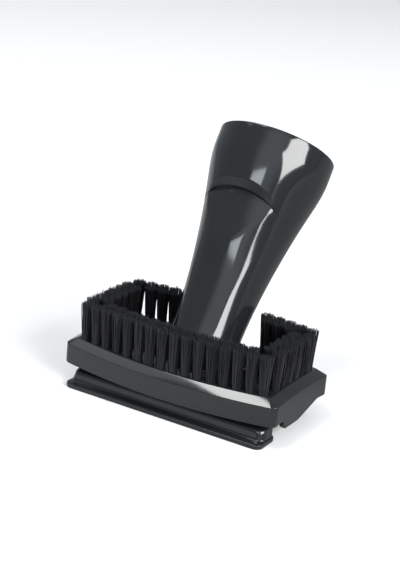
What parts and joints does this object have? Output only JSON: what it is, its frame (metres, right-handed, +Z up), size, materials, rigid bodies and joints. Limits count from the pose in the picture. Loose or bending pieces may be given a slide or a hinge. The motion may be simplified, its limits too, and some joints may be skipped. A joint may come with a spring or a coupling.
{
  "type": "vacuum furniture brush",
  "caption": "Small vacuum furniture brush: leaning push-on tube socket and neck, flat flared suction mouth, and a clipped-on rectangular frame of upright bristle tufts.",
  "frame": {"origin": "middle of the object's box, on the sole of the suction mouth", "axes": "+Z up, the way the bristles stand; +X along the mouth; -Y to the front lip; the neck leans to +Y"},
  "size_m": [0.082, 0.0838, 0.0915],
  "materials": {
    "nozzle_plastic": "glossy dark grey moulding",
    "frame_plastic": "glossy dark grey moulding",
    "bristle": "black nylon bristle",
    "staple_wire": "plain steel wire"
  },
  "bodies": {
    "root": {"nozzle_body": "nozzle_plastic", "brush_frame": "frame_plastic", "tufts_front_outer": "bristle", "tufts_front_inner": "bristle", "tufts_right_outer": "bristle", "tufts_right_inner": "bristle", "tufts_left_outer": "bristle", "tufts_left_inner": "bristle", "tufts_back_right_outer": "bristle", "tufts_back_right_inner": "bristle", "tufts_back_left_outer": "bristle", "tufts_back_left_inner": "bristle", "tuft_staples": "staple_wire"}
  },
  "joints": []
}
